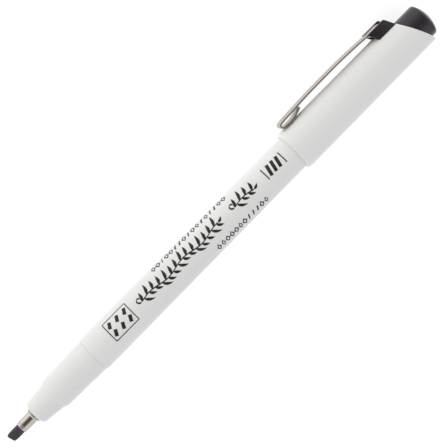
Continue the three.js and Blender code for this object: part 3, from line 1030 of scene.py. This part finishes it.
def print_tree():
    """Geometry Nodes that add two rows of small marks and lay flat printing round the barrel."""
    tree = bpy.data.node_groups.new("lay_printing", "GeometryNodeTree")
    tree.is_modifier = True
    links, face = tree.links, tree.interface
    for kind, names in (
        ("Geometry", ("Geometry",)),
        ("Float", ("Front Place", "Rear Place", "Front Radius", "Rear Radius", "Start Angle",
                   "Ink Lift", "Mark Height", "Mark Width")),
        ("Vector", ("Upper Row", "Lower Row", "Upper Pitch", "Lower Pitch")),
        ("Int", ("Upper Count", "Lower Count", "Seed")),
        ("Material", ("Material",)),
    ):
        for name in names:
            face.new_socket(name, in_out="INPUT", socket_type="NodeSocket" + kind)
    face.new_socket("Geometry", in_out="OUTPUT", socket_type="NodeSocketGeometry")
    given = node(tree, "NodeGroupInput").outputs

    def output_of(kind, values=None, **settings):
        return node(tree, kind, values, **settings).outputs[0]

    def math_of(operation, *inputs):
        return output_of("ShaderNodeMath", dict(enumerate(inputs)), operation=operation)

    # A slanted bar and a lozenge, one of them picked at random for each mark.
    width, height = given["Mark Width"], given["Mark Height"]
    bar = output_of("GeometryNodeCurvePrimitiveQuadrilateral", {"Width": width, "Height": height},
                    mode="RECTANGLE")
    bar = output_of("GeometryNodeFillCurve", {"Curve": bar})
    bar = output_of("GeometryNodeTransform", {"Geometry": bar, "Rotation": (0, 0, -0.3)})
    lozenge = output_of("GeometryNodeCurvePrimitiveCircle",
                        {"Resolution": 4, "Radius": math_of("MULTIPLY", height, 0.5)})
    lozenge = output_of("GeometryNodeTransform", {"Geometry": lozenge, "Scale": (0.62, 1.0, 1.0)})
    start, end = (
        output_of("ShaderNodeCombineXYZ", {"X": math_of("MULTIPLY", width, half)}) for half in (-0.5, 0.5)
    )
    line = output_of("GeometryNodeCurvePrimitiveLine", {"Start": start, "End": end})
    lozenge = output_of("GeometryNodeCurveToMesh", {"Curve": lozenge, "Profile Curve": line})
    kinds = node(tree, "GeometryNodeGeometryToInstance")
    for mark in (lozenge, bar):
        links.new(mark, kinds.inputs["Geometry"])

    joined = node(tree, "GeometryNodeJoinGeometry")
    for extra, row in enumerate(("Upper", "Lower")):
        points = output_of("GeometryNodeMeshLine", {
            "Count": given[row + " Count"], "Start Location": given[row + " Row"],
            "Offset": given[row + " Pitch"],
        })
        pick = node(tree, "FunctionNodeRandomValue",
                    {4: 0, 5: 1, "Seed": math_of("ADD", given["Seed"], extra)}, data_type="INT")
        size = output_of("FunctionNodeRandomValue", {
            0: (0.75, 0.92, 1.0), 1: (1.15, 1.04, 1.0), "Seed": math_of("ADD", given["Seed"], 10 + extra),
        }, data_type="FLOAT_VECTOR")
        marks = output_of("GeometryNodeInstanceOnPoints", {
            "Points": points, "Instance": kinds.outputs["Instances"], "Pick Instance": True,
            "Instance Index": pick.outputs[2], "Scale": size,
        })
        links.new(marks, joined.inputs["Geometry"])

    real = output_of("GeometryNodeRealizeInstances", {"Geometry": joined.outputs["Geometry"]})
    fine = output_of("GeometryNodeSubdivideMesh", {"Mesh": real, "Level": 2})
    whole = node(tree, "GeometryNodeJoinGeometry")
    for flat in (fine, given["Geometry"]):
        links.new(flat, whole.inputs["Geometry"])

    place = node(tree, "ShaderNodeSeparateXYZ", {"Vector": output_of("GeometryNodeInputPosition")}).outputs
    radius = ranged(tree, place["X"], given["Front Radius"], given["Rear Radius"],
                    given["Front Place"], given["Rear Place"], clamp=False)
    turn = math_of("ADD", given["Start Angle"], math_of("DIVIDE", place["Y"], radius))
    out = math_of("ADD", radius, given["Ink Lift"])
    laid = output_of("ShaderNodeCombineXYZ", {
        "X": math_of("MULTIPLY", out, math_of("COSINE", turn)),
        "Y": place["X"],
        "Z": math_of("MULTIPLY", out, math_of("SINE", turn)),
    })
    moved = output_of("GeometryNodeSetPosition",
                      {"Geometry": whole.outputs["Geometry"], "Position": laid})
    last = output_of("GeometryNodeRealizeInstances", {"Geometry": moved})
    painted = output_of("GeometryNodeSetMaterial", {"Geometry": last, "Material": given["Material"]})
    node(tree, "NodeGroupOutput", {"Geometry": painted})
    return tree


class MarkerBuildPrint(bpy.types.Operator):
    """Build the printing on the barrel: a framed ornament, pen strokes, marks and a width swatch"""

    bl_idname = "marker.build_print"
    bl_label = "Printing"

    def execute(self, context):
        ink = context.scene.marker_print
        low, high, chisel = ink.hair / MM, ink.broad / MM, ink.pen_angle
        mesh = bmesh.new()

        # the frame, and six strokes in it
        left, right, base, top, line = 37.1, 45.0, -1.95, 4.0, 0.13
        for start, end in (
            ((left, base), (right, base)), ((left, top), (right, top)),
            ((left, base), (left, top)), ((right, base), (right, top)),
        ):
            band(mesh, start, end, line)
        middle = (base + top) / 2
        inset, column_pitch, row_half, run, rise = 1.35, 2.6, 1.25, 0.45, 0.8
        for column in range(3):
            for row in (-1, 1):
                x, y = left + inset + column * column_pitch, middle + row * row_half
                band(mesh, (x - run, y - rise), (x + run, y + rise), 0.48, 12)

        stem_height = 0.6
        for start, end in ((48.6, 76.5), (82.2, 89.0)):
            vine(mesh, start, end, stem_height, low, high, chisel)

        # the width swatch between its two thin bars
        thin_half, broad_half, lean = 0.16, 0.46, 0.38
        for x in (93.6, 99.9):
            band(mesh, (x, -0.7), (x, 2.9), thin_half)
        for x in (95.15, 96.75, 98.35):
            band(mesh, (x - lean, -0.45), (x + lean, 2.65), broad_half)

        flat = object_of("barrel_printing", mesh)
        front, back = span("barrel")
        values = {
            "Front Place": front + TAPER_START,
            "Rear Place": back,
            "Front Radius": outer_radius("barrel"),
            "Rear Radius": BARREL_REAR,
            "Start Angle": context.scene.marker_stage.turn - math.pi / 2,
            "Ink Lift": 0.004,
            "Mark Height": 1.75,
            "Mark Width": 0.44,
            "Upper Row": (56.4, 5.2, 0),
            "Lower Row": (72.4, -4.1, 0),
            "Upper Pitch": (1.58, 0, 0),
            "Lower Pitch": (1.55, 0, 0),
            "Upper Count": 17,
            "Lower Count": 12,
            "Seed": ink.seed,
            "Material": finish_for(context, "printing_ink"),
        }
        tree = print_tree()
        modifier = flat.modifiers.new(tree.name, "NODES")
        modifier.node_group = tree
        for socket in tree.interface.items_tree:
            if socket.name in values:
                modifier[socket.identifier] = values[socket.name]
        skin = flat.modifiers.new("skin", "SOLIDIFY")
        skin.thickness = ink.height / MM
        skin.offset = 1
        result = read_back(flat)
        bpy.data.meshes.remove(flat.data)
        bpy.data.node_groups.remove(tree)
        finished(context, "printing", result, "printing_ink", "pen")
        return {"FINISHED"}


class MarkerBuildStage(bpy.types.Operator):
    """Build the pale floor, the soft lights, the surroundings and the camera"""

    bl_idname = "marker.build_stage"
    bl_label = "Stage"

    def execute(self, context):
        scene, stage = context.scene, context.scene.marker_stage
        scene.view_settings.view_transform = "Standard"
        scene.view_settings.look = "None"

        floor_reach, floor_drop, floor_tone, floor_glow = 6.0, 0.02 * MM, (0.42, 0.42, 0.42), 0.77
        floor = bmesh.new()
        bmesh.ops.create_grid(floor, x_segments=24, y_segments=24, size=floor_reach)
        floor = object_of("floor", floor)
        floor.data.transform(Matrix.Translation((0, 0, -floor_drop)))
        floor.data.materials.append(pale_floor("pale_floor", floor_tone, floor_glow))

        for name, place, size, power, tint in (
            ("key_light", (-0.05, -0.62, 0.34), (0.9, 0.5), stage.key, (1.0, 0.99, 0.965)),
            ("fill_light", (0.02, 0.6, 0.42), (0.8, 0.4), stage.fill, (0.95, 0.97, 1.0)),
        ):
            light = bpy.data.lights.new(name, "AREA")
            light.shape = "RECTANGLE"
            light.size, light.size_y = size
            light.energy = power
            light.color = tint
            lamp = bpy.data.objects.new(name, light)
            lamp.location = place
            lamp.visible_glossy = False
            lamp.rotation_mode = "QUATERNION"
            lamp.rotation_quaternion = (-Vector(place)).to_track_quat("-Z", "Y")
            scene.collection.objects.link(lamp)

        world = bpy.data.worlds.new("studio")
        world.use_nodes = True
        tree = world.node_tree
        background = next(n for n in tree.nodes if n.type == "BACKGROUND")
        way = node(tree, "ShaderNodeTexCoord").outputs["Generated"]
        lean = math.asin(-CLIP_WAY.y) - stage.turn
        above = Vector((0, -math.cos(lean), math.sin(lean)))
        # A dark band behind the camera, which the shiny pieces reflect, in a sky that cools to the rear.
        near_sky, far_sky, band_tone = (1, 1, 0.985), (0.855, 0.875, 0.95), (0.11, 0.09, 0.07)
        narrow = node(tree, "ShaderNodeMapping", {"Vector": way, "Scale": (2.6, 1, 1)}).outputs["Vector"]
        even = node(tree, "ShaderNodeVectorMath", {0: narrow}, operation="NORMALIZE").outputs["Vector"]
        facing = node(tree, "ShaderNodeVectorMath", {0: even, 1: above}, operation="DOT_PRODUCT")
        dark = ranged(tree, facing.outputs["Value"], 0, 1, 0.5, 0.93, interpolation_type="SMOOTHSTEP")
        depth = node(tree, "ShaderNodeSeparateXYZ", {"Vector": way}).outputs["Y"]
        sky = blended(tree, ranged(tree, depth, 0, 1, -0.4, 0.9), near_sky, far_sky)
        fed(tree, background, {
            "Color": blended(tree, dark, sky, band_tone),
            "Strength": stage.world,
        })
        scene.world = world

        data = bpy.data.cameras.new("camera")
        camera = bpy.data.objects.new("camera", data)
        scene.collection.objects.link(camera)
        data.lens = stage.lens
        data.sensor_width = 36.0
        data.sensor_fit = "HORIZONTAL"
        data.clip_start, data.clip_end = 0.01, 50.0
        place = TIP + TAIL_WAY * stage.foot + above * stage.distance
        aim = TIP + TAIL_WAY * stage.aim
        back = (place - aim).normalized()
        rise = above.cross(TAIL_WAY)
        along = rise.cross(back)
        cos, sin = math.cos(stage.roll), math.sin(stage.roll)
        right, up = along * cos - rise * sin, along * sin + rise * cos
        turn = Matrix((right, up, back)).transposed()
        camera.rotation_mode = "QUATERNION"
        camera.location = place
        camera.rotation_quaternion = turn.to_quaternion()
        scene.camera = camera
        return {"FINISHED"}


class MARKER_PT_sidebar(bpy.types.Panel):
    """Lists the marker's pieces and their settings"""

    bl_label = "Marker"
    bl_idname = "MARKER_PT_sidebar"
    bl_space_type = "VIEW_3D"
    bl_region_type = "UI"
    bl_category = "Marker"

    def draw(self, context):
        layout = self.layout
        for operator in OPERATORS:
            layout.operator(operator.bl_idname)
        for name, group in SETTINGS:
            box = layout.box()
            box.label(text=name.replace("_", " ").title())
            for key in group.__annotations__:
                box.prop(getattr(context.scene, name), key)


OPERATORS = (
    MarkerBuildStage,
    MarkerBuildNib,
    MarkerBuildFerrule,
    MarkerBuildSection,
    MarkerBuildBarrel,
    MarkerBuildReservoir,
    MarkerBuildPrint,
    MarkerBuildCapTube,
    MarkerBuildCapLiner,
    MarkerBuildCapPlug,
    MarkerBuildClip,
)
SETTINGS = (
    ("marker_shape", MarkerShapeSettings),
    ("marker_cap", MarkerCapSettings),
    ("marker_print", MarkerPrintSettings),
    ("marker_finish", MarkerFinishSettings),
    ("marker_stage", MarkerStageSettings),
)


def register():
    for name, group in SETTINGS:
        bpy.utils.register_class(group)
        setattr(bpy.types.Scene, name, PointerProperty(type=group))
    for cls in (*OPERATORS, MARKER_PT_sidebar):
        bpy.utils.register_class(cls)


def unregister():
    for cls in reversed((*OPERATORS, MARKER_PT_sidebar)):
        bpy.utils.unregister_class(cls)
    for name, group in reversed(SETTINGS):
        delattr(bpy.types.Scene, name)
        bpy.utils.unregister_class(group)


def main():
    register()
    for operator in OPERATORS:
        group, name = operator.bl_idname.split(".")
        getattr(getattr(bpy.ops, group), name)()


if __name__ == "__main__":
    main()
